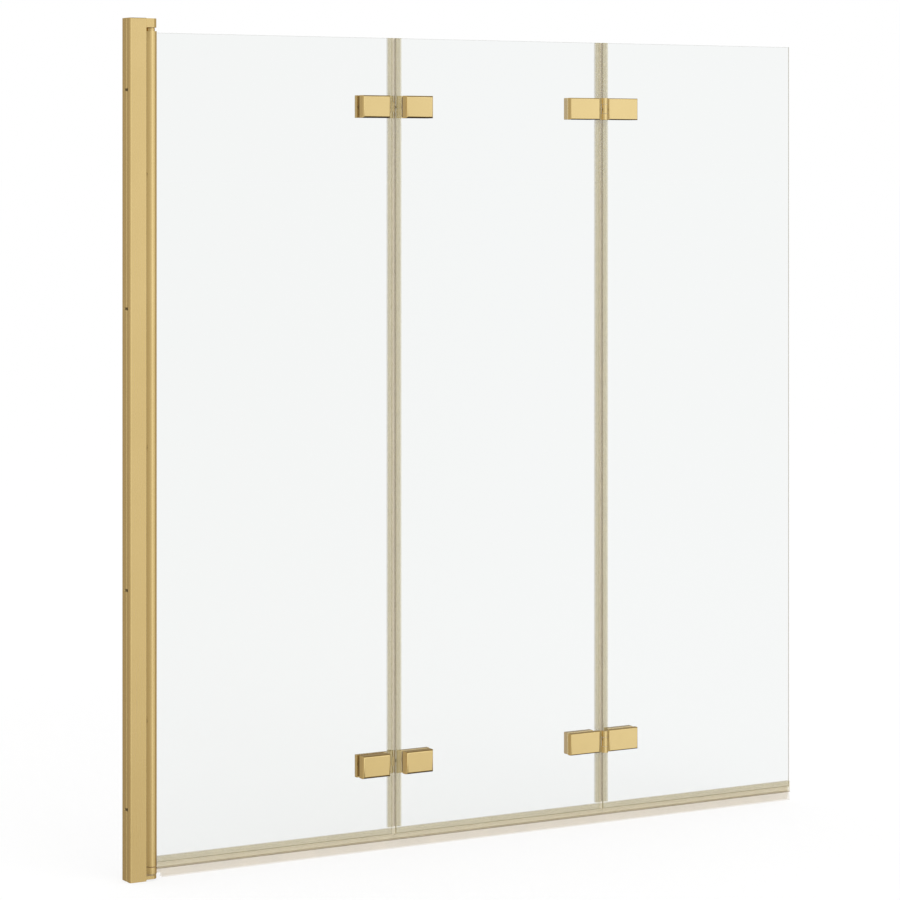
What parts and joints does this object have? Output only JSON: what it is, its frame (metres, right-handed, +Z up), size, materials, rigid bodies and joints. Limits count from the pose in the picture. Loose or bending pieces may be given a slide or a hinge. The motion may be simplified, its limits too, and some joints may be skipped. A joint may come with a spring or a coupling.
{
  "type": "folding bath screen",
  "caption": "Folding glass bath screen: framed only at the wall, it swings on a round pivot barrel and folds at gold hinges with seals between the panes.",
  "frame": {"origin": "on the wall face of the wall profile, in the middle plane of the glass, at the foot of the profile", "axes": "+X along the screen away from the wall, -Y to the front, +Z up"},
  "size_m": [1.3, 0.0383, 1.38],
  "materials": {
    "gold_aluminium": "satin gold anodised",
    "gold_hinge": "satin gold plated",
    "clear_glass": "clear tempered, polished edges",
    "beige_vinyl": "translucent soft vinyl",
    "white_nylon": "moulded",
    "steel": "bright",
    "black_rubber": "matt"
  },
  "bodies": {
    "wall_frame": {"wall_profile": "gold_aluminium", "adjust_profile": "gold_aluminium", "top_cap": "gold_aluminium", "top_bracket": "gold_aluminium", "bottom_bracket": "gold_aluminium", "top_pivot_pin": "steel", "bottom_pivot_pin": "steel", "foot_collar": "gold_aluminium", "foot_washer": "black_rubber", "locking_screws": "steel", "locking_screw_covers": "gold_aluminium", "bracket_screws": "steel", "pivot_wiper_seal": "beige_vinyl"},
    "panel_1": {"pivot_profile": "gold_aluminium", "top_collar": "gold_aluminium", "top_bush": "white_nylon", "bottom_bush": "white_nylon", "glazing_gasket": "beige_vinyl", "glass_1": "clear_glass", "bottom_seal_1": "beige_vinyl", "joint_seal_a_1": "beige_vinyl", "hinge_a_upper_leaf_1": "gold_hinge", "hinge_a_lower_leaf_1": "gold_hinge", "hinge_a_upper_block_1": "gold_hinge", "hinge_a_lower_block_1": "gold_hinge", "hinge_a_upper_pin": "gold_hinge", "hinge_a_lower_pin": "gold_hinge", "hinge_a_pads_1": "black_rubber", "hinge_a_screws_1": "steel", "hinge_a_washers": "white_nylon"},
    "panel_2": {"glass_2": "clear_glass", "bottom_seal_2": "beige_vinyl", "joint_seal_a_2": "beige_vinyl", "joint_seal_b_2": "beige_vinyl", "hinge_a_upper_leaf_2": "gold_hinge", "hinge_a_lower_leaf_2": "gold_hinge", "hinge_a_upper_block_2": "gold_hinge", "hinge_a_lower_block_2": "gold_hinge", "hinge_a_pads_2": "black_rubber", "hinge_a_screws_2": "steel", "hinge_b_upper_leaf_2": "gold_hinge", "hinge_b_lower_leaf_2": "gold_hinge", "hinge_b_upper_block_2": "gold_hinge", "hinge_b_lower_block_2": "gold_hinge", "hinge_b_upper_pin": "gold_hinge", "hinge_b_lower_pin": "gold_hinge", "hinge_b_pads_2": "black_rubber", "hinge_b_screws_2": "steel", "hinge_b_washers": "white_nylon"},
    "panel_3": {"glass_3": "clear_glass", "bottom_seal_3": "beige_vinyl", "joint_seal_b_3": "beige_vinyl", "hinge_b_upper_leaf_3": "gold_hinge", "hinge_b_lower_leaf_3": "gold_hinge", "hinge_b_upper_block_3": "gold_hinge", "hinge_b_lower_block_3": "gold_hinge", "hinge_b_pads_3": "black_rubber", "hinge_b_screws_3": "steel"}
  },
  "joints": [
    {"name": "wall_pivot", "type": "hinge", "parent": "wall_frame", "child": "panel_1", "pos_m": [0.0445, 0, 0.69], "axis": [0, 0, 1], "range_deg": [-90, 0]},
    {"name": "fold_a", "type": "hinge", "parent": "panel_1", "child": "panel_2", "pos_m": [0.4879, 0.0133, 0.69], "axis": [0, 0, 1], "range_deg": [0, 178]},
    {"name": "fold_b", "type": "hinge", "parent": "panel_2", "child": "panel_3", "pos_m": [0.8988, -0.0133, 0.69], "axis": [0, 0, -1], "range_deg": [0, 178]}
  ]
}
